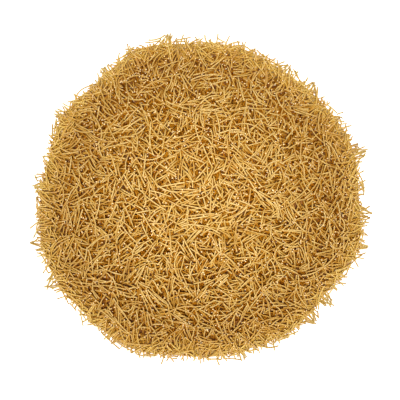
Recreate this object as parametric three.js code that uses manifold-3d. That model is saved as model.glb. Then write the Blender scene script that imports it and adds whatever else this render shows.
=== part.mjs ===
import * as THREE from 'three';
import { mergeVertices } from 'three/addons/utils/BufferGeometryUtils.js';
import Module from 'manifold-3d';

// A loose round heap of short-cut whole wheat fideo (thin pasta) as it lies when a bag is
// poured out: a low dome with an uneven, tufted rim and a flat underside.
// Millimetres, +Z up, origin on the flat underside at the middle of the heap's bounding box.

// Driving dimensions of the pasta
const noodleDiameter = 1.1;
const noodleLength = { shortest: 10, longest: 22 };
const noodleSides = 4;
const acrossCorners = 1.22;         // of a four-sided noodle that looks as thick as the round one
const bentShare = 0.35;             // of the noodles, those that are bent
const bentSteps = 3;
const bentRise = { least: 0.05, most: 0.14 };   // of a bent noodle's middle, in noodle lengths

// Driving dimensions of the heap
const meanRadius = 120;
const heapHeight = 45;
const topRoundness = 2.2;           // exponents of the dome's side view
const sideSteepness = 0.8;
const outlineWaves = [              // waves round the rim, their height and the first crest's bearing
  { count: 2, height: 1.2, crest: 9 },
  { count: 3, height: 1.9, crest: -13 },
  { count: 4, height: 0.5, crest: 18 },
  { count: 7, height: 0.6, crest: -12 },
  { count: 8, height: 1.0, crest: -22 },
  { count: 9, height: 0.7, crest: -11 },
  { count: 11, height: 0.9, crest: 15 },
];

// The core, which stands for all the noodles under the top ones
const coreDepth = 2;                // below the tops of the noodles that lie on it
const coreRelief = 1.3;             // bumps and dips of noodle bundles, up and down
const coreDetail = 11;              // subdivisions of each face of the starting icosahedron
const coreSkirt = 4;                // bulge under the floor, cut off flat
const restingPoints = 6;            // places along a noodle where the core can hold it up
const pressedIn = 0.2;              // depth to which a resting noodle joins the core

// The noodles that show
const topNoodles = 145;
const topSpread = 0.97;             // share of the heap's radius that they cover
const topJitter = 0.3;              // of their even spacing, to each side
const steepShare = 0.16;            // of the top noodles, those that stand up out of the heap
const steepAngle = { least: 20, most: 60 };
const rimNoodles = 48;
const rimReach = 4.5;               // of a rim noodle's end past the outline, at most
const rimFall = { least: -0.35, most: 0.25 };   // slope of a rim noodle, down and up
const rimLift = 0.35;               // greatest height of its end over the floor, in its lengths
const tufts = [                     // bundles that stick out of the rim: bearing and reach
  { bearing: -4, reach: 7 },
  { bearing: -15, reach: 5 },
  { bearing: -38, reach: 8 },
  { bearing: -46, reach: 6 },
  { bearing: -75, reach: 5 },
  { bearing: -150, reach: 8 },
  { bearing: -166, reach: 7 },
  { bearing: 175, reach: 4 },
  { bearing: 164, reach: 3 },
  { bearing: 148, reach: 5 },
  { bearing: 126, reach: 4 },
  { bearing: 100, reach: 6 },
  { bearing: 57, reach: 4 },
  { bearing: 46, reach: 5 },
  { bearing: 17, reach: 8 },
];
const tuftNoodles = 3;
const tuftStep = 0.25;              // by which each noodle of a tuft is shorter than the one before
const tuftSpread = 24;              // degrees that a tuft's noodles turn from the bearing, at most

const wholeWheat = { color: 0xc89a55, roughness: 0.6, metalness: 0 };

const wasm = await Module();
wasm.setup();

// Repeatable random numbers from 0 to 1
function randomSource(seed) {
  let state = seed;
  return () => {
    state = (state + 0x6d2b79f5) | 0;
    let mixed = Math.imul(state ^ (state >>> 15), 1 | state);
    mixed = (mixed + Math.imul(mixed ^ (mixed >>> 7), 61 | mixed)) ^ mixed;
    return ((mixed ^ (mixed >>> 14)) >>> 0) / 4294967296;
  };
}

const random = randomSource(7);
const between = (low, high) => low + (high - low) * random();

// Radius of the heap's foot in a direction
function outlineRadius(angle) {
  let radius = meanRadius;
  for (const wave of outlineWaves) {
    radius += wave.height * Math.cos(wave.count * (angle - THREE.MathUtils.degToRad(wave.crest)));
  }
  return radius;
}

// Height of the tops of the noodles over a point of the floor
function heapSurface(x, y) {
  const share = Math.min(Math.hypot(x, y) / outlineRadius(Math.atan2(y, x)), 1);
  return heapHeight * (1 - share ** topRoundness) ** sideSteepness;
}

function toSolid(geometry) {
  geometry.deleteAttribute('normal');
  geometry.deleteAttribute('uv');
  const merged = mergeVertices(geometry);
  return new wasm.Manifold(new wasm.Mesh({
    numProp: 3,
    vertProperties: Float32Array.from(merged.attributes.position.array),
    triVerts: Uint32Array.from(merged.index.array),
  }));
}

function toGeometry(solid) {
  const mesh = solid.getMesh();
  const geometry = new THREE.BufferGeometry();
  geometry.setAttribute('position', new THREE.BufferAttribute(mesh.vertProperties, 3));
  geometry.setIndex(new THREE.BufferAttribute(mesh.triVerts, 1));
  geometry.computeVertexNormals();
  return geometry;
}

// The core: a sphere of even triangles drawn out to the heap's outline and height, with
// each corner raised or lowered, so that its faces are bumps of the noodles' size
function coreGeometry() {
  const geometry = new THREE.IcosahedronGeometry(1, coreDetail);
  geometry.deleteAttribute('normal');
  geometry.deleteAttribute('uv');
  const ball = mergeVertices(geometry);
  const place = ball.attributes.position;
  for (let i = 0; i < place.count; i++) {
    const angle = Math.atan2(place.getY(i), place.getX(i));
    const share = Math.sqrt(Math.max(1 - Math.abs(place.getZ(i)), 0));
    const radius = share * outlineRadius(angle);
    const x = radius * Math.cos(angle);
    const y = radius * Math.sin(angle);
    const top = heapSurface(x, y) - coreDepth + coreRelief * between(-1, 1);
    const under = -coreDepth - coreSkirt * (1 - share);
    place.setXYZ(i, x, y, place.getZ(i) >= 0 ? top : under);
  }
  return ball;
}

const core = coreGeometry();
const coreMesh = new THREE.Mesh(core);
const down = new THREE.Vector3(0, 0, -1);

// Height of the core's bumps over a point of the floor, or of the floor beside it
function coreHeight(x, y) {
  const ray = new THREE.Raycaster(new THREE.Vector3(x, y, 2 * heapHeight), down);
  const [hit] = ray.intersectObject(coreMesh);
  return hit ? Math.max(hit.point.z, 0) : 0;
}

// How a stiff noodle lies: on two bumps, one on each side of its middle, whose line is highest
function restingLine(x, y, heading, length) {
  const bumps = [];
  for (let i = 0; i < restingPoints; i++) {
    const along = ((i + 0.5) / restingPoints - 0.5) * length;
    const height = coreHeight(x + along * Math.cos(heading), y + along * Math.sin(heading));
    bumps.push({ along, height });
  }
  let line = { height: 0, slope: 0 };
  for (const back of bumps.filter((bump) => bump.along < 0)) {
    for (const front of bumps.filter((bump) => bump.along > 0)) {
      const slope = (front.height - back.height) / (front.along - back.along);
      const height = back.height - slope * back.along;
      if (height > line.height) line = { height, slope };
    }
  }
  return line;
}

// One noodle: a thin stick, straight or gently bent to one side, with square-cut ends
function noodle(middle, direction, length, sideways) {
  const bent = random() < bentShare;
  const rise = bent ? between(bentRise.least, bentRise.most) * length : 0;
  const reach = direction.clone().multiplyScalar(length / 2);
  const chord = middle.clone().addScaledVector(sideways, -rise / 2);
  const path = new THREE.QuadraticBezierCurve3(
    chord.clone().sub(reach),
    chord.clone().addScaledVector(sideways, 2 * rise),
    chord.clone().add(reach),
  );
  const corners = [];
  for (let i = 0; i < noodleSides; i++) {
    const turn = (2 * Math.PI * i) / noodleSides;
    corners.push(new THREE.Vector2(Math.cos(turn), Math.sin(turn)).multiplyScalar(acrossCorners / 2));
  }
  return toSolid(new THREE.ExtrudeGeometry(new THREE.Shape(corners), {
    steps: bent ? bentSteps : 1,
    bevelEnabled: false,
    extrudePath: path,
  }));
}

const noodleSize = () => between(noodleLength.shortest, noodleLength.longest);

// A noodle that lies on the heap
function lyingNoodle(x, y, heading) {
  const length = noodleSize();
  const line = restingLine(x, y, heading, length);
  const direction = new THREE.Vector3(Math.cos(heading), Math.sin(heading), line.slope).normalize();
  const sideways = new THREE.Vector3(-Math.sin(heading), Math.cos(heading), 0);
  const lift = (noodleDiameter / 2 - pressedIn) / Math.hypot(direction.x, direction.y);
  const middle = new THREE.Vector3(x, y, line.height + lift);
  return noodle(middle, direction, length, random() < 0.5 ? sideways : sideways.negate());
}

// A noodle that stands up out of the heap at an angle, with its lower half inside
function steepNoodle(x, y, heading) {
  const angle = THREE.MathUtils.degToRad(between(steepAngle.least, steepAngle.most));
  const direction = new THREE.Vector3(Math.cos(heading), Math.sin(heading), Math.tan(angle));
  const sideways = new THREE.Vector3(-Math.sin(heading), Math.cos(heading), 0);
  const middle = new THREE.Vector3(x, y, coreHeight(x, y));
  return noodle(middle, direction.normalize(), noodleSize(), sideways);
}

// Noodles spread evenly over the dome, in turning steps of the golden angle
function* topLayer() {
  const goldenAngle = Math.PI * (3 - Math.sqrt(5));
  for (let i = 0; i < topNoodles; i++) {
    const ring = Math.sqrt((i + 0.5 + between(-topJitter, topJitter)) / topNoodles);
    const angle = i * goldenAngle;
    const radius = topSpread * ring * outlineRadius(angle);
    const place = random() < steepShare ? steepNoodle : lyingNoodle;
    yield place(radius * Math.cos(angle), radius * Math.sin(angle), between(0, 2 * Math.PI));
  }
}

// A noodle whose outer end stands past the rim, low over the floor
function rimNoodle(angle, heading, reach) {
  const length = noodleSize();
  const edge = outlineRadius(angle) + reach;
  const fall = between(rimFall.least, rimFall.most);
  const direction = new THREE.Vector3(Math.cos(heading), Math.sin(heading), fall).normalize();
  const tipHeight = between(noodleDiameter / 2, rimLift * length);
  const tip = new THREE.Vector3(edge * Math.cos(angle), edge * Math.sin(angle), tipHeight);
  const middle = tip.clone().addScaledVector(direction, -length / 2);
  middle.z = Math.max(middle.z, noodleDiameter);
  const sideways = new THREE.Vector3(-Math.sin(heading), Math.cos(heading), 0);
  return noodle(middle, direction, length, sideways);
}

// Noodles all round the rim, and the tufts
function* rim() {
  for (let i = 0; i < rimNoodles; i++) {
    const angle = (2 * Math.PI * (i + random())) / rimNoodles;
    const turn = between(-1, 1);
    yield rimNoodle(angle, angle + turn, rimReach * between(0, 1) * Math.cos(turn));
  }
  for (const tuft of tufts) {
    for (let i = 0; i < tuftNoodles; i++) {
      const angle = THREE.MathUtils.degToRad(tuft.bearing);
      const turn = THREE.MathUtils.degToRad(tuftSpread * between(-1, 1));
      yield rimNoodle(angle, angle + turn, tuft.reach * (1 - tuftStep * i));
    }
  }
}

// The whole heap, cut flat where it rests, with the scraps that touch nothing left out
function heap() {
  let solid = toSolid(core);
  for (const piece of topLayer()) solid = solid.add(piece);
  for (const piece of rim()) solid = solid.add(piece);
  const depth = 4 * coreSkirt;
  const floor = new THREE.BoxGeometry(3 * meanRadius, 3 * meanRadius, depth);
  floor.translate(0, 0, -depth / 2);
  const bodies = solid.subtract(toSolid(floor)).decompose();
  bodies.sort((a, b) => b.volume() - a.volume());
  const geometry = toGeometry(bodies[0]);
  geometry.computeBoundingBox();
  const box = geometry.boundingBox;
  geometry.translate(-(box.min.x + box.max.x) / 2, -(box.min.y + box.max.y) / 2, 0);
  return geometry;
}

const fideoHeap = new THREE.Mesh(heap(), new THREE.MeshStandardMaterial(wholeWheat));
fideoHeap.name = 'fideo_heap';

const part = new THREE.Group();
part.add(fideoHeap);

export default part;
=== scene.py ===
import math

import bpy
import numpy as np
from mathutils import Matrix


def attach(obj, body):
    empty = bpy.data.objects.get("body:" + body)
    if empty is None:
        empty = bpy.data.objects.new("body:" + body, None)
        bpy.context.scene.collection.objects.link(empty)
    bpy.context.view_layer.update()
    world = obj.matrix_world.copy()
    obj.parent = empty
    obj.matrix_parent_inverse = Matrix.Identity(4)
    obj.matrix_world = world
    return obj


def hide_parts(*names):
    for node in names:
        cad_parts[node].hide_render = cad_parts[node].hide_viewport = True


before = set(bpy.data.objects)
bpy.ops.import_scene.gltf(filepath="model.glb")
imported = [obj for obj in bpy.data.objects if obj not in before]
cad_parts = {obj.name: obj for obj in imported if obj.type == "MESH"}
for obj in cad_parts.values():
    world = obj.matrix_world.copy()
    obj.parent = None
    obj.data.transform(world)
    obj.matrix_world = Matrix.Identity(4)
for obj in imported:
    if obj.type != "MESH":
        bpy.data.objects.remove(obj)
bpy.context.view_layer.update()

# The inside of the heap. The noodles that lie too deep to be seen are one ribbed mound of the same
# dry pasta, which the loose noodles bury on all sides and which lies flat on the table. Its dark
# brown is painted shade, and its paler colour at the rim is painted light.

mm = 0.001
heap_middle = np.array([-1.7, -3.1]) * mm      # of the outline, beside the middle of the box
mean_radius = 120 * mm
heap_height = 45 * mm
top_roundness = 2.2
side_steepness = 0.8
outline_waves = [                              # waves round the rim, height, first crest's bearing
    (2, 1.2 * mm, 9),
    (3, 1.9 * mm, -13),
    (4, 0.5 * mm, 18),
    (7, 0.6 * mm, -12),
    (8, 1.0 * mm, -22),
    (9, 0.7 * mm, -11),
    (11, 0.9 * mm, 15),
]
buried_depth = 9 * mm                          # of the core's top under the tops of the noodles
buried_share = 0.3                             # the same near the rim, as a share of the height
rim_depth = 2.6 * mm
rim_band = (-22 * mm, 2 * mm)                  # from inside the outline to past it, where painted rim light is laid on and painted shade is lessened
core_rings = 60
core_sectors = 180
core_ribs = 0.5 * mm                           # height of the ridges on the core
rib_pitch = (1.1 * mm, 1.7 * mm)
rib_wander = 6 * mm
pressed_in = 0.2 * mm                          # depth to which the lowest noodles lie in the core


def outline_radius(angle):
    """Radius of the heap's foot in a direction."""
    radius = mean_radius
    for count, height, crest in outline_waves:
        radius = radius + height * np.cos(count * (angle - math.radians(crest)))
    return radius


def heap_top(x, y):
    """Height of the tops of the noodles over a place on the table."""
    x = x - heap_middle[0]
    y = y - heap_middle[1]
    share = np.minimum(np.hypot(x, y) / outline_radius(np.arctan2(y, x)), 1)
    return heap_height * (1 - share**top_roundness) ** side_steepness


def core_top(x, y):
    """Height of the ribbed ground that the lowest noodles lie on."""
    top = heap_top(x, y)
    ribs = np.sin(x / rib_pitch[0] + 2 * np.sin(y / rib_wander)) * np.sin(y / rib_pitch[1])
    low = (1 - buried_share) * top - rim_depth
    return np.maximum(np.minimum(top - buried_depth, low) + core_ribs * ribs, 0)


def edge(points):
    """How far points lie in the rim's band, from 0 at its inner side to 1 just past the outline."""
    x, y = points[..., 0] - heap_middle[0], points[..., 1] - heap_middle[1]
    past = np.hypot(x, y) - outline_radius(np.arctan2(y, x))
    return np.clip((past - rim_band[0]) / (rim_band[1] - rim_band[0]), 0, 1)


def new_piece(name, vertices, faces):
    """A mesh object of its own, put into the scene."""
    mesh = bpy.data.meshes.new(name)
    mesh.from_pydata(vertices, [], faces)
    mesh.validate()
    piece = bpy.data.objects.new(name, mesh)
    bpy.context.scene.collection.objects.link(piece)
    return piece


def make_core():
    """A ribbed mound on a flat underside, drawn ring by ring to where it meets the table."""
    inner = np.linspace(0, 1, core_rings + 1)[1:]
    turns = np.linspace(0, 2 * math.pi, core_sectors, endpoint=False)
    low_share = rim_depth / (1 - buried_share) / heap_height
    foot = (1 - low_share ** (1 / side_steepness)) ** (1 / top_roundness)
    radius = inner[:, None] * foot * outline_radius(turns)[None]
    x = heap_middle[0] + radius * np.cos(turns)
    y = heap_middle[1] + radius * np.sin(turns)
    top = np.stack([x, y, core_top(x, y) + pressed_in], -1)
    under = np.stack([x[-1], y[-1], 0 * x[-1]], -1)
    peak = np.array([[*heap_middle, heap_height - buried_depth]])
    base = np.array([[*heap_middle, 0]])
    points = np.concatenate([peak, top.reshape(-1, 3), under, base])
    faces = []
    for k in range(core_sectors):
        turn = (k + 1) % core_sectors
        faces.append((0, 1 + k, 1 + turn))
        for ring in range(core_rings):
            low = 1 + ring * core_sectors
            high = low + core_sectors
            faces.append((low + k, high + k, high + turn, low + turn))
        last = 1 + core_rings * core_sectors
        faces.append((last + turn, last + k, len(points) - 1))
    return new_piece("heap_core", points.tolist(), faces)


def principled(name):
    """A new material, and its shader."""
    material = bpy.data.materials.new(name)
    material.use_nodes = True
    return material, material.node_tree.nodes["Principled BSDF"]


def ramp(tree, source, stops):
    """A colour that changes over the surface as the source does, between the stops given."""
    node = tree.nodes.new("ShaderNodeValToRGB")
    while len(node.color_ramp.elements) < len(stops):
        node.color_ramp.elements.new(0.5)
    for element, (place, colour) in zip(node.color_ramp.elements, stops):
        element.position = place
        element.color = colour
    tree.links.new(source, node.inputs["Fac"])
    return node.outputs["Color"]


def grain_group():
    """The unevenness of dry dough, from 0 to 1, which the stretch can draw out along a noodle."""
    group = bpy.data.node_groups.new("dough_grain", "ShaderNodeTree")
    sockets = {"Place": "Vector", "Stretch": "Vector", "Scale": "Float", "Detail": "Float"}
    for label, kind in sockets.items():
        group.interface.new_socket(label, in_out="INPUT", socket_type=f"NodeSocket{kind}")
    group.interface.new_socket("Grain", in_out="OUTPUT", socket_type="NodeSocketFloat")
    given = group.nodes.new("NodeGroupInput").outputs
    stretched = group.nodes.new("ShaderNodeVectorMath")
    stretched.operation = "MULTIPLY"
    noise = group.nodes.new("ShaderNodeTexNoise")
    result = group.nodes.new("NodeGroupOutput")
    group.links.new(given["Place"], stretched.inputs[0])
    group.links.new(given["Stretch"], stretched.inputs[1])
    group.links.new(stretched.outputs["Vector"], noise.inputs["Vector"])
    group.links.new(given["Scale"], noise.inputs["Scale"])
    group.links.new(given["Detail"], noise.inputs["Detail"])
    group.links.new(noise.outputs["Fac"], result.inputs["Grain"])
    return group


dough_grain = grain_group()


def grain_of(tree, place, scale, detail, stretch=(1, 1, 1)):
    """Places the dough's grain in a material, with the scale, detail and stretch of its own."""
    node = tree.nodes.new("ShaderNodeGroup")
    node.node_tree = dough_grain
    node.inputs["Scale"].default_value = scale
    node.inputs["Detail"].default_value = detail
    node.inputs["Stretch"].default_value = stretch
    tree.links.new(place, node.inputs["Place"])
    return node.outputs["Grain"]


def mix(tree, mode, factor, first, second):
    """Lays the second colour over the first."""
    node = tree.nodes.new("ShaderNodeMix")
    node.data_type = "RGBA"
    node.blend_type = mode
    for socket, value in ((node.inputs[0], factor), (node.inputs[6], first), (node.inputs[7], second)):
        if isinstance(value, bpy.types.NodeSocket):
            tree.links.new(value, socket)
        else:
            socket.default_value = value
    return node.outputs[2]


def attribute(tree, name, output):
    """A value that the mesh keeps at each of its corners."""
    node = tree.nodes.new("ShaderNodeAttribute")
    node.attribute_name = name
    return node.outputs[output]


def bump(tree, shader, height, strength, distance):
    """Fine roughness, too small to be in the mesh."""
    node = tree.nodes.new("ShaderNodeBump")
    node.inputs["Strength"].default_value = strength
    node.inputs["Distance"].default_value = distance
    tree.links.new(height, node.inputs["Height"])
    tree.links.new(node.outputs["Normal"], shader.inputs["Normal"])


def core_material():
    """Streaked dough, with painted shade in its dark brown inside the heap and painted light in its
    paler colour at the rim.
    """
    material, shader = principled("painted_light_and_shade_core")
    tree = material.node_tree
    place = attribute(tree, "grain", "Vector")
    streaks = grain_of(tree, place, scale=0.45, detail=3)
    # Painted shade: the dark brown of the noodles hidden inside the heap, streaked with the grain.
    shade = ramp(tree, streaks, [
        (0.35, (0.13, 0.040, 0.002, 1)),
        (0.65, (0.30, 0.110, 0.010, 1)),
    ])
    # Painted light: the colour turns paler towards the rim.
    pale = ramp(tree, attribute(tree, "edge", "Fac"), [
        (0.4, (0, 0, 0, 1)),
        (0.73, (1, 1, 1, 1)),
    ])
    colour = mix(tree, "MIX", pale, shade, (0.52, 0.36, 0.11, 1))
    tree.links.new(colour, shader.inputs["Base Color"])
    shader.inputs["Roughness"].default_value = 0.8
    bump(tree, shader, streaks, strength=0.5, distance=0.4 * mm)
    return material


core = make_core()
core_points = np.array([vertex.co for vertex in core.data.vertices])
core_edge = core.data.attributes.new("edge", "FLOAT", "POINT")
core_edge.data.foreach_set("value", edge(core_points))
core_grain = core.data.attributes.new("grain", "FLOAT_VECTOR", "POINT")
core_grain.data.foreach_set("vector", core_points.ravel() / mm)
core.data.materials.append(core_material())
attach(core, "root")
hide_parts("fideo_heap")

# The noodles. Each is a thin stick of dry whole wheat pasta, pressed through a die, dried and
# chopped short, so that it is straight or bowed and has two pale cut ends. They are dropped onto
# the heap a few at a time, where each comes to rest on two of those under it or leans in a gap.

noodle_radius = 0.54 * mm
noodle_kinds = {                               # share, shortest, longest, turn in degrees, spans
    "straight": (0.46, 10 * mm, 20 * mm, (2, 14), 4),
    "bowed": (0.34, 11 * mm, 22 * mm, (18, 65), 6),
    "curled": (0.07, 12 * mm, 22 * mm, (70, 150), 10),
    "broken": (0.13, 5 * mm, 10 * mm, (2, 20), 2),
}
field_cell = 0.3 * mm
field_half = 141 * mm
field_side = int(2 * field_half / field_cell)
patch = 5                                      # cells along the side of a patch
lumps = 90                                     # waves that make the heap's surface uneven
lump_height = 0.2 * mm
lump_widths = (7 * mm, 30 * mm)
rest_samples = np.linspace(-0.97, 0.97, 20)    # where a noodle can be held up, from end to end
across_samples = np.array([-0.6, 0, 0.6])      # the same across it
stamp_along = np.linspace(-1, 1, 96)           # where it then holds up others
stamp_across = np.linspace(-1, 1, 7)
tile = 22 * mm                                 # one noodle falls on each tile in a round
places_seen = 6                                # in its tile, of which it takes the lowest
tries = 3                                      # ways to lie that each noodle chooses from
bundle_share = 0.1                             # noodles that fall in line with a neighbour
bundle_turn = 0.15                             # radians between those two
way_turn = 0.5                                 # radians between a noodle's ways to lie
way_shift = 1.2 * mm                           # between their middles
lean_share = 0.6                               # noodles that stand in a gap
steepest = 3.0                                 # rise of a leaning noodle for each unit along
lean_gain = 2 * mm                             # off its cost for each unit of rise
tip_rise = 2 * mm                              # of a leaning noodle's tip over the heap
end_rise = 3 * mm                              # of a lying noodle's ends
tip_floor = 0.6 * noodle_radius                # least height of an end over the table
overhang = (1.4 * mm, 4.5 * mm)                # of an end past the outline, usual and greatest
rim_margin = 0.6 * mm                          # inside the outline, where no noodle is let fall
full_enough = 0.7 * mm                         # under the heap's full height
rim_layer = 2.4 * mm                           # least height of the heap inside its outline
filling_room = 1.2 * mm                        # of a noodle's middle over the heap, at most
outward_room = 3 * mm                          # the same at the rim
rounds = 900
random = np.random.default_rng(11)

grid = (np.arange(field_side) + 0.5) * field_cell - field_half
x_cells, y_cells = np.meshgrid(grid, grid, indexing="ij")
beyond = np.hypot(x_cells - heap_middle[0], y_cells - heap_middle[1]) - outline_radius(
    np.arctan2(y_cells - heap_middle[1], x_cells - heap_middle[0])
)
full = heap_top(x_cells, y_cells)
for lump in range(lumps):
    bearing, phase = random.uniform(0, 2 * np.pi, 2)
    along = x_cells * math.cos(bearing) + y_cells * math.sin(bearing)
    full += lump_height * np.sin(2 * np.pi * along / random.uniform(*lump_widths) + phase)
full = np.where(beyond < 0, np.maximum(full, rim_layer), 0)
field = core_top(x_cells, y_cells)


def cells(x, y):
    """The numbers of the field's cells under some places."""
    return (
        np.clip((x + field_half) / field_cell, 0, field_side - 1).astype(int),
        np.clip((y + field_half) / field_cell, 0, field_side - 1).astype(int),
    )


def patches(values):
    """The cells of a field by patch."""
    count = field_side // patch
    return values.reshape(count, patch, count, patch).swapaxes(1, 2).reshape(count, count, -1)


full_patches = patches(full).mean(-1)
beyond_patches = patches(beyond).mean(-1)
heading_patches = np.full(full_patches.shape, np.nan)


def arc(length, bend, t):
    """A bent noodle's line in its own plane, along and aside of its balance point."""
    turn = bend[..., None] * t / 2
    radius = (length / bend)[..., None]
    return radius * np.sin(turn), radius * (np.cos(turn) - np.sinc(bend / (2 * np.pi))[..., None])


def ground_under(x, y, heading, length, bend, slope):
    """Places along each noodle as seen from above, and the lowest that its line can go there."""
    along, aside = arc(length, bend, rest_samples)
    along = along / np.hypot(1, slope)[..., None]
    cosine, sine = np.cos(heading)[..., None], np.sin(heading)[..., None]
    lowest = 0
    for across in across_samples:
        off = aside + across * noodle_radius
        px = x[..., None] + along * cosine - off * sine
        py = y[..., None] + along * sine + off * cosine
        lowest = np.maximum(lowest, field[cells(px, py)] + noodle_radius * math.sqrt(1 - across**2))
    return along, lowest


def rest_on_two(along, lowest):
    """Height and slope of the highest line over one support on each side of the balance point."""
    half = len(rest_samples) // 2
    back, front = along[..., :half, None], along[..., None, half:]
    low, high = lowest[..., :half, None], lowest[..., None, half:]
    slopes = (high - low) / (front - back)
    heights = low - slopes * back
    slopes = slopes.reshape(*slopes.shape[:-2], -1)
    heights = heights.reshape(slopes.shape)
    pick = heights.argmax(-1)[..., None]
    return np.take_along_axis(heights, pick, -1)[..., 0], np.take_along_axis(slopes, pick, -1)[..., 0]


def lean_on_one(along, lowest):
    """Height and slope of a line that stands in a gap and leans on the highest thing before it."""
    foot = lowest[..., :1]
    slopes = ((lowest[..., 1:] - foot) / (along[..., 1:] - along[..., :1])).max(-1)
    return foot[..., 0] - slopes * along[..., 0], slopes


def drop(x, y, heading, length, bend, reach, lean, room):
    """Lets noodles come to rest in the best of several ways each, and gives those that can stay."""
    length, bend, reach, lean = [v[:, None] for v in (length, bend, reach, lean)]
    # A leaning noodle stands at 45 degrees at first, and then swings down about its foot.
    slope = np.where(lean, 1.0, 0)
    foot_x = x - length / 2 * np.cos(heading) / np.sqrt(2)
    foot_y = y - length / 2 * np.sin(heading) / np.sqrt(2)
    shape = heading.shape
    length, bend = np.broadcast_to(length, shape), np.broadcast_to(bend, shape)
    for settling in range(2):
        along, lowest = ground_under(x, y, heading, length, bend, slope)
        rest_height, rest_slope = rest_on_two(along, lowest)
        lean_height, lean_slope = lean_on_one(along, lowest)
        height = np.where(lean, lean_height, rest_height)
        slope = np.where(lean, lean_slope, rest_slope)
        flat = length / 2 / np.hypot(1, slope)
        if settling == 0:
            x = np.where(lean, foot_x + flat * np.cos(heading), x)
            y = np.where(lean, foot_y + flat * np.sin(heading), y)
    # The cost of a way to lie is its height over the heap. A fault adds a metre, which rules it out.
    cost = height - full[cells(x, y)] - np.where(lean, np.minimum(slope, steepest) * lean_gain, 0)
    cost = cost + (lean & (slope > steepest))
    for end in (-1, 1):
        place = cells(x + end * flat * np.cos(heading), y + end * flat * np.sin(heading))
        tip = height + end * slope * flat
        cost = cost + (beyond[place] > reach) + (tip < tip_floor)
        cost = cost + (tip - full[place] > np.where(lean, tip_rise, end_rise))
    best = cost.argmin(1)[:, None]
    chosen = [np.take_along_axis(v, best, 1)[:, 0] for v in (x, y, height, heading, slope, length, bend)]
    return np.stack(chosen, 1), np.take_along_axis(cost, best, 1)[:, 0] < room


def stamp(noodles):
    """Raises the field to the tops of noodles that have come to rest."""
    x, y, height, heading, slope, length, bend = noodles.T[..., None, None]
    along, aside = arc(noodles[:, 5], noodles[:, 6], stamp_along)
    along = along[..., None] / np.hypot(1, slope)
    off = aside[..., None] + stamp_across * noodle_radius
    px = x + along * np.cos(heading) - off * np.sin(heading)
    py = y + along * np.sin(heading) + off * np.cos(heading)
    top = height + slope * along + noodle_radius * np.sqrt(1 - stamp_across**2)
    np.maximum.at(field, cells(px, py), top)


def draw_noodles(count, kinds):
    """Kind, length and bend of some noodles."""
    shares = np.array([noodle_kinds[kind][0] for kind in kinds])
    picks = random.choice(len(kinds), count, p=shares / shares.sum())
    limits = np.array([(*noodle_kinds[kind][1:3], *noodle_kinds[kind][3]) for kind in kinds])[picks]
    bend = np.radians(random.uniform(limits[:, 2], limits[:, 3])) * random.choice([-1, 1], count)
    length = random.uniform(limits[:, 0], limits[:, 1])
    names = list(noodle_kinds)
    return np.array([names.index(kind) for kind in kinds])[picks], length, bend


fallen = []
fallen_kinds = []


def settle(kinds, noodles, stays):
    """Keeps the noodles that can stay, and remembers which way each points."""
    stamp(noodles[stays])
    fallen.append(noodles[stays])
    fallen_kinds.append(kinds[stays])
    i, j = cells(noodles[stays, 0], noodles[stays, 1])
    heading_patches[i // patch, j // patch] = noodles[stays, 3]


def lowest_places():
    """The lowest place of several in the middle of each tile of a grid over the heap."""
    starts = np.arange(-field_half, field_half, tile)
    corner_x, corner_y = np.meshgrid(starts, starts)
    shift = random.uniform(0, tile, 2)
    spread = random.uniform(0, tile / 2, (2, corner_x.size, places_seen))
    x = corner_x.reshape(-1, 1) + shift[0] + spread[0]
    y = corner_y.reshape(-1, 1) + shift[1] + spread[1]
    i, j = cells(x, y)
    i, j = i // patch, j // patch
    missing = full_patches[i, j] - patches(field).mean(-1)[i, j]
    need = np.where(beyond_patches[i, j] < -rim_margin, missing, -1)
    best = need.argmax(1)[:, None]
    x, y, need, i, j = [np.take_along_axis(v, best, 1)[:, 0] for v in (x, y, need, i, j)]
    low = need > full_enough
    return x[low], y[low], heading_patches[i, j][low]


def fill_heap():
    """Drops noodles in rounds where the heap is lowest, until it has its full height everywhere."""
    for turn in range(rounds):
        x, y, near = lowest_places()
        count = len(x)
        lean = random.random(count) < lean_share
        kinds, length, bend = draw_noodles(count, list(noodle_kinds))
        heading = random.uniform(0, 2 * np.pi, (count, 1)) + random.normal(0, way_turn, (count, tries))
        in_line = (random.random(count) < bundle_share) & ~np.isnan(near) & ~lean
        beside = near[:, None] + random.normal(0, bundle_turn, (count, tries))
        heading = np.where(in_line[:, None], beside, heading)
        heading = np.where(lean[:, None], random.uniform(0, 2 * np.pi, (count, tries)), heading)
        spread = random.normal(0, way_shift, (2, count, tries))
        reach = np.minimum(random.exponential(overhang[0], count), overhang[1])
        x, y = x[:, None] + spread[0], y[:, None] + spread[1]
        x = x + np.where(lean[:, None], length[:, None] / 2 * np.cos(heading) / np.sqrt(2), 0)
        y = y + np.where(lean[:, None], length[:, None] / 2 * np.sin(heading) / np.sqrt(2), 0)
        noodles, stays = drop(x, y, heading, length, bend, reach, lean, filling_room)
        settle(kinds, noodles, stays)


tufts = np.array([                             # bundles that stick out: bearing, reach in mm
    (-4, 7),
    (-15, 5),
    (-38, 8),
    (-46, 6),
    (-75, 5),
    (-150, 8),
    (-166, 7),
    (175, 4),
    (164, 3),
    (148, 5),
    (126, 4),
    (100, 6),
    (57, 4),
    (46, 5),
    (17, 8),
])
tuft_noodles = 14
tuft_width = 4 * mm                            # at its foot, to each side
tuft_point = 0.15                              # width at its tip, as a share of that
tuft_taper = 0.9                               # share of its reach that the noodles at its sides lack
tuft_scatter = 0.4 * mm                        # between the reaches of its noodles
tuft_turn = 0.35                               # radians that they point aside
tuft_regrown = 0.9                             # share of its reach, laid again over the filled heap
fringe_noodles = 70                            # on each turn round the rim
fringe_turns = (3, 7)                          # before and after the heap is filled
fringe_reach = (2 * mm, 6 * mm)                # of its ends from its foot, usual and greatest
fringe_foot = 1 * mm                           # inside the outline
fringe_turn = 0.5                              # radians that its noodles point aside
outward_slack = 1 * mm                         # of an end past its reach


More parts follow.
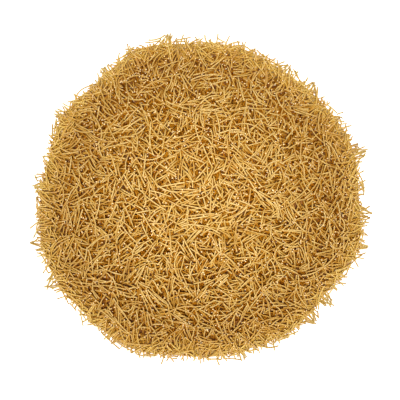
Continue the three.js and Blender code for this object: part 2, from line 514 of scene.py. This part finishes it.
def drop_outward(angle, reach, spread):
    """Drops a noodle at each bearing of the rim, pointing out of it by its reach."""
    count = len(angle)
    kinds, length, bend = draw_noodles(count, ["straight", "bowed", "broken"])
    tip = outline_radius(angle) + reach
    heading = angle[:, None] + random.normal(0, spread, (count, tries))
    x = heap_middle[0] + (tip * np.cos(angle))[:, None] - length[:, None] / 2 * np.cos(heading)
    y = heap_middle[1] + (tip * np.sin(angle))[:, None] - length[:, None] / 2 * np.sin(heading)
    lean = np.zeros(count, bool)
    noodles, stays = drop(x, y, heading, length, bend, reach + outward_slack, lean, outward_room)
    settle(kinds, noodles, stays)


def drop_fringe(turns):
    """Lays single noodles round the rim, with their ends out over it."""
    for turn in range(turns):
        angle = (np.arange(fringe_noodles) + random.random(fringe_noodles)) * 2 * np.pi / fringe_noodles
        reach = np.minimum(random.exponential(fringe_reach[0], fringe_noodles), fringe_reach[1])
        drop_outward(angle, reach - fringe_foot, fringe_turn)


def drop_tufts(share):
    """Lays the tufts, each wide at its foot and narrow where it reaches out furthest."""
    for i in range(tuft_noodles):
        aside = random.normal(0, tuft_width * (tuft_point + i / tuft_noodles), len(tufts))
        reach = share * tufts[:, 1] * mm * (1 - tuft_taper * i / tuft_noodles)
        reach = reach - random.exponential(tuft_scatter, len(tufts))
        drop_outward(np.radians(tufts[:, 0]) + aside / mean_radius, reach, tuft_turn)


drop_tufts(1)
drop_fringe(fringe_turns[0])
fill_heap()
drop_tufts(tuft_regrown)
drop_fringe(fringe_turns[1])
fallen = np.concatenate(fallen)
fallen_kinds = np.concatenate(fallen_kinds)

sunk_full = 4 * mm                             # depth at which a noodle's painted shade is full
painted_shade_rim_cut = 0.8                                # share of the painted shade left off at the open rim
tops = patches(field).max(-1)
# Each patch's top is averaged with those of its eight neighbours.
tops = sum(np.roll(tops, (i, j), (0, 1)) for i in (-1, 0, 1) for j in (-1, 0, 1)) / 9


def sunk(points):
    """How deep points lie under the tops of the noodles around them, from 0 to 1, less at the rim: the
    strength of the painted shade that their colour gets.
    """
    place = (points[..., :2] + field_half) / (field_cell * patch) - 0.5
    corner = np.clip(place.astype(int), 0, len(tops) - 2)
    share = np.clip(place - corner, 0, 1)
    i, j = corner[..., 0], corner[..., 1]
    low = tops[i, j] * (1 - share[..., 0]) + tops[i + 1, j] * share[..., 0]
    high = tops[i, j + 1] * (1 - share[..., 0]) + tops[i + 1, j + 1] * share[..., 0]
    top = low * (1 - share[..., 1]) + high * share[..., 1]
    return np.clip((top - points[..., 2]) / sunk_full, 0, 1) * (1 - painted_shade_rim_cut * edge(points))


sides = 8
bevel = 0.09 * mm                              # length of the chamfer at a cut end
bevel_share = 0.72                             # thickness left at the cut
line_wobble = 0.025 * mm
thickness_range = (0.9, 1.06)                  # from noodle to noodle
swelling_range = (0.96, 1.04)                  # along one noodle
cut_slant = 0.22                               # of a cut end, from square across
grain_span = 50                                # over which the noodles' grain is drawn, in mm
piece_triangles = 190000
map_rows_per_column = 5                        # which makes a noodle's cell as long as the noodle
map_side = (0.04, 0.82), (0.1, 0.9)            # of a cell: the noodle's side, rolled flat
map_ends = 0.91, (0.28, 0.72)                  # the middles of its two cut ends
map_end_size = (0.05, 0.17)


def noodle_rings(noodles, spans):
    """Corner places, shade (a random tone), cut ends, painted shade of the flanks and grain of each
    noodle: (noodle, corner, value).
    """
    x, y, height, heading, slope, length, bend = noodles.T
    count = len(x)
    level = 1 / np.hypot(1, slope)
    chord = np.stack([np.cos(heading) * level, np.sin(heading) * level, slope * level], -1)
    aside = np.stack([-np.sin(heading), np.cos(heading), 0 * heading], -1)
    up = np.cross(chord, aside)
    middle = np.stack([x, y, height], -1)
    t = np.concatenate([[-1], np.linspace(-1, 1, spans + 1), [1]])
    turn = bend[:, None] * t / 2
    radius = (length / bend)[:, None]
    out = radius * np.sin(turn)
    off = radius * (np.cos(turn) - np.sinc(bend / (2 * np.pi))[:, None])
    push = np.zeros(len(t))
    push[0], push[-1] = -bevel, bevel
    tangent = chord[:, None] * np.cos(turn)[..., None] - aside[:, None] * np.sin(turn)[..., None]
    across = chord[:, None] * np.sin(turn)[..., None] + aside[:, None] * np.cos(turn)[..., None]
    line = middle[:, None] + chord[:, None] * out[..., None] + aside[:, None] * off[..., None]
    wobble = random.normal(0, line_wobble, (count, len(t), 2))
    line += wobble[..., :1] * across + wobble[..., 1:] * up[:, None]
    line += tangent * push[None, :, None]
    thick = noodle_radius * random.uniform(*thickness_range, (count, 1))
    thick = thick * random.uniform(*swelling_range, (count, len(t)))
    thick[:, 0] *= bevel_share
    thick[:, -1] *= bevel_share
    around = np.linspace(0, 2 * np.pi, sides, endpoint=False) + random.uniform(0, 1, (count, 1))
    cos, sin = np.cos(around)[:, None, :, None], np.sin(around)[:, None, :, None]
    outward = cos * across[:, :, None] + sin * up[:, None, None]
    corners = line[:, :, None] + thick[..., None, None] * outward
    # Painted shade of the sides, from 0 on a noodle's top to 1 on its sides and underside.
    painted_flank_shade = 1 - np.clip(outward[..., 2], 0, 1)
    painted_flank_shade = np.concatenate([painted_flank_shade.reshape(count, -1), np.zeros((count, 2))], 1)
    cut = np.zeros((count, len(t), 1, 1))
    cut[:, :2, 0, 0] = random.normal(0, cut_slant, (count, 1))
    cut[:, -2:, 0, 0] = random.normal(0, cut_slant, (count, 1))
    corners += tangent[:, :, None] * cut * thick[..., None, None] * cos
    caps = np.stack([line[:, 0], line[:, -1]], 1)
    points = np.concatenate([corners.reshape(count, -1, 3), caps], 1)
    points[..., 2] += np.maximum(0, -points[..., 2].min(1))[:, None]
    ends = np.zeros((count, len(t), sides))
    ends[:, 0] = ends[:, -1] = 1
    ends = np.concatenate([ends.reshape(count, -1), np.ones((count, 2))], 1)
    seed = random.uniform(0, grain_span, (count, 1, 3))
    grain = np.stack(np.broadcast_arrays(
        thick[..., None] * np.cos(around)[:, None] / mm,
        thick[..., None] * np.sin(around)[:, None] / mm,
        (out + push)[..., None] / mm,
    ), -1).reshape(count, -1, 3)
    grain = np.concatenate([grain, np.stack([0 * caps[:, 0], 0 * caps[:, 1]], 1)], 1)
    grain[:, -2, 2] = (out[:, 0] - bevel) / mm
    grain[:, -1, 2] = (out[:, -1] + bevel) / mm
    shade = np.repeat(random.random((count, 1)), points.shape[1], 1)
    return points, shade, ends, painted_flank_shade, grain + seed


def noodle_faces(rings):
    """Corner numbers of one noodle: the four-sided faces along it, and the fans of its cut ends."""
    quads = []
    for ring in range(rings - 1):
        for k in range(sides):
            a = ring * sides + k
            b = ring * sides + (k + 1) % sides
            quads.append((a, b, b + sides, a + sides))
    start, end = rings * sides, rings * sides + 1
    last = (rings - 1) * sides
    fans = [((k + 1) % sides, k, start) for k in range(sides)]
    fans += [(last + k, last + (k + 1) % sides, end) for k in range(sides)]
    return np.array(quads), np.array(fans)


def noodle_map(spans):
    """Map places of one noodle's faces in a cell of its own: the side rolled flat, then both ends."""
    rings = spans + 3
    chamfer = 0.02                             # its share of the side on the map
    along = np.concatenate([[0], np.linspace(chamfer, 1 - chamfer, spans + 1), [1]])
    along = np.interp(along, (0, 1), map_side[0])
    around = np.linspace(*map_side[1], sides + 1)
    places = []
    for ring in range(rings - 1):
        for k in range(sides):
            places += [(along[ring], around[k]), (along[ring], around[k + 1])]
            places += [(along[ring + 1], around[k + 1]), (along[ring + 1], around[k])]
    turns = np.linspace(0, 2 * np.pi, sides + 1)
    column, centres = map_ends
    width, height = map_end_size
    for centre, order in zip(centres, ((1, 0), (0, 1))):
        for k in range(sides):
            for step in order:
                turn = turns[k + step]
                places.append((column + width * math.cos(turn), centre + height * math.sin(turn)))
            places.append((column, centre))
    return np.array(places)


def noodle_piece(name, noodles, spans, material):
    """One mesh of many noodles, with the values that its material reads."""
    points, shade, ends, painted_flank_shade, grain = noodle_rings(noodles, spans)
    count, corners, _ = points.shape
    quads, fans = noodle_faces(spans + 3)
    first = (np.arange(count) * corners)[:, None, None]
    loops = np.concatenate([(quads + first).reshape(count, -1), (fans + first).reshape(count, -1)], 1)
    sizes = np.tile(np.repeat([4, 3], [len(quads), len(fans)]), count)
    mesh = bpy.data.meshes.new(name)
    mesh.vertices.add(count * corners)
    mesh.vertices.foreach_set("co", points.ravel())
    mesh.loops.add(loops.size)
    mesh.loops.foreach_set("vertex_index", loops.ravel())
    mesh.polygons.add(len(sizes))
    mesh.polygons.foreach_set("loop_start", np.concatenate([[0], np.cumsum(sizes)[:-1]]))
    mesh.update(calc_edges=True)
    columns = math.ceil(math.sqrt(count / map_rows_per_column))
    rows = math.ceil(count / columns)
    cell = np.stack(np.divmod(np.arange(count), rows), -1)[:, None]
    places = (cell + noodle_map(spans)) / (columns, rows)
    mesh.uv_layers.new(name="OFBake").data.foreach_set("uv", places.ravel())
    rounded = np.tile(np.repeat([True, False], [len(quads), len(fans)]), count)
    mesh.polygons.foreach_set("use_smooth", rounded)
    # The flank and depth values carry painted shade into the colour, and the edge value painted rim
    # light.
    masks = {"shade": shade, "cut_end": ends, "painted_flank_shade": painted_flank_shade}
    masks.update(sunk=sunk(points), edge=edge(points))
    for label, values in masks.items():
        mesh.attributes.new(label, "FLOAT", "POINT").data.foreach_set("value", values.ravel())
    mesh.attributes.new("grain", "FLOAT_VECTOR", "POINT").data.foreach_set("vector", grain.ravel())
    mesh.materials.append(material)
    piece = bpy.data.objects.new(name, mesh)
    bpy.context.scene.collection.objects.link(piece)
    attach(piece, "root")
    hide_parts("fideo_heap")
    return piece


def pasta_material():
    """Golden dry pasta, flecked with bran and pale where cut, with painted shade that makes it darker
    and redder deep in the heap and on its flanks, and painted light that makes it paler at the rim.
    """
    material, shader = principled("dry_pasta")
    tree = material.node_tree
    shade = attribute(tree, "shade", "Fac")
    grain = attribute(tree, "grain", "Vector")
    body = ramp(tree, shade, [
        (0.0, (0.477, 0.300, 0.076, 1)),
        (0.5, (0.538, 0.385, 0.123, 1)),
        (1.0, (0.605, 0.465, 0.181, 1)),
    ])
    mottle = ramp(tree, grain_of(tree, grain, scale=0.9, detail=3), [
        (0.3, (0.82, 0.80, 0.76, 1)),
        (0.7, (1.1, 1.1, 1.1, 1)),
    ])
    body = mix(tree, "MULTIPLY", 1.0, body, mottle)
    # Painted shade: the deeper a noodle lies in the heap, the darker and redder it is painted.
    painted_shade_amount = attribute(tree, "sunk", "Fac")
    painted_depth_shade = ramp(tree, painted_shade_amount, [
        (0.08, (1, 1, 1, 1)),
        (0.4, (0.985, 0.88, 0.57, 1)),
        (1.0, (0.72, 0.41, 0.07, 1)),
    ])
    body = mix(tree, "MULTIPLY", 1.0, body, painted_depth_shade)
    # Painted shade on each noodle's sides and underside.
    painted_flank_shade = ramp(tree, attribute(tree, "painted_flank_shade", "Fac"), [
        (0.2, (1, 1, 1, 1)),
        (1.0, (0.94, 0.64, 0.10, 1)),
    ])
    body = mix(tree, "MULTIPLY", 1.0, body, painted_flank_shade)
    # Painted light: the noodles are painted paler and yellower towards the rim.
    painted_rim_light = ramp(tree, attribute(tree, "edge", "Fac"), [
        (0.0, (1, 1, 1, 1)),
        (0.35, (1.08, 1.06, 0.94, 1)),
        (0.59, (1.24, 1.29, 1.13, 1)),
        (0.83, (1.20, 1.30, 1.20, 1)),
        (1.0, (0.96, 1.06, 1.03, 1)),
    ])
    body = mix(tree, "MULTIPLY", 1.0, body, painted_rim_light)
    bran = ramp(tree, grain_of(tree, grain, scale=4.0, detail=2), [
        (0.64, (0, 0, 0, 1)),
        (0.72, (1, 1, 1, 1)),
    ])
    body = mix(tree, "MIX", bran, body, (0.36, 0.14, 0.02, 1))
    body = mix(tree, "MIX", attribute(tree, "cut_end", "Fac"), body, (0.88, 0.74, 0.44, 1))
    tree.links.new(body, shader.inputs["Base Color"])
    shader.inputs["Roughness"].default_value = 0.45
    # The gloss fades out with the same depth, as part of the painted shade.
    gloss = ramp(tree, painted_shade_amount, [
        (0.0, (0.42, 0.42, 0.42, 1)),
        (0.6, (0, 0, 0, 1)),
    ])
    tree.links.new(gloss, shader.inputs["Specular IOR Level"])
    drawn = grain_of(tree, grain, scale=3.0, detail=3, stretch=(1, 1, 0.15))
    bump(tree, shader, drawn, strength=0.4, distance=0.05 * mm)
    return material


pasta = pasta_material()
for number, (kind, limits) in enumerate(noodle_kinds.items()):
    noodles = fallen[fallen_kinds == number]
    spans = limits[-1]
    triangles = 2 * sides * (spans + 2) + 2 * sides
    parts = math.ceil(len(noodles) * triangles / piece_triangles)
    for part in range(parts):
        start = part * len(noodles) // parts
        stop = (part + 1) * len(noodles) // parts
        noodle_piece(f"fideo_{kind}_{part + 1}", noodles[start:stop], spans, pasta)

# The table, the light and the camera, which aren't part of the heap. The table is plain and white.
# One soft lamp hangs over it, and a weak warm light from all around stands in for the light that
# passes from noodle to noodle. The camera looks straight down from a metre over the table.

table = 3                                      # metres from the middle to each side
table_corners = [(-table, -table, 0), (table, -table, 0), (table, table, 0), (-table, table, 0)]
floor = new_piece("floor", table_corners, [(0, 1, 2, 3)])
floor_material, floor_shader = principled("white_table")
floor_shader.inputs["Base Color"].default_value = (0.8, 0.8, 0.8, 1)
floor_shader.inputs["Roughness"].default_value = 0.7
floor_shader.inputs["Emission Color"].default_value = (1, 1, 1, 1)
floor_shader.inputs["Emission Strength"].default_value = 1.05
floor.data.materials.append(floor_material)

scene = bpy.context.scene
world = bpy.data.worlds.new("studio")
scene.world = world
world.use_nodes = True
room_nodes = world.node_tree.nodes
room_links = world.node_tree.links
fill_light = room_nodes["Background"]
fill_light.inputs["Color"].default_value = (1, 0.62, 0.25, 1)
fill_light.inputs["Strength"].default_value = 0.5
backdrop = room_nodes.new("ShaderNodeBackground")
backdrop.inputs["Color"].default_value = (1, 1, 1, 1)
seen = room_nodes.new("ShaderNodeLightPath")
room_light = room_nodes.new("ShaderNodeMixShader")
room_links.new(seen.outputs["Is Camera Ray"], room_light.inputs[0])
room_links.new(fill_light.outputs[0], room_light.inputs[1])
room_links.new(backdrop.outputs[0], room_light.inputs[2])
room_links.new(room_light.outputs[0], room_nodes["World Output"].inputs[0])

lamp = bpy.data.lights.new("soft_lamp", "SPOT")
lamp.energy = 144
lamp.spot_size = math.radians(17)
lamp.spot_blend = 1
lamp.shadow_soft_size = 0.15
lamp_object = bpy.data.objects.new("soft_lamp", lamp)
lamp_object.location = (-0.02, -0.1, 1.3)
lamp_object.rotation_euler = (math.radians(4.5), math.radians(-0.9), 0)
scene.collection.objects.link(lamp_object)

frame_pixels = 400
outline_pixels = 162.6                         # mean radius of the heap in the picture
picture_middle = (198.9, 201.4)                # where the middle of its outline is
camera_height = 1.0
pixel = mean_radius / outline_pixels
camera = bpy.data.cameras.new("camera")
camera.sensor_width = 36                       # millimetres, as the lens
camera.lens = camera.sensor_width * camera_height / (frame_pixels * pixel)
camera_object = bpy.data.objects.new("camera", camera)
camera_object.location = (
    heap_middle[0] + (frame_pixels / 2 - picture_middle[0]) * pixel,
    heap_middle[1] - (frame_pixels / 2 - picture_middle[1]) * pixel,
    camera_height,
)
scene.collection.objects.link(camera_object)
scene.camera = camera_object
scene.view_settings.view_transform = "Standard"
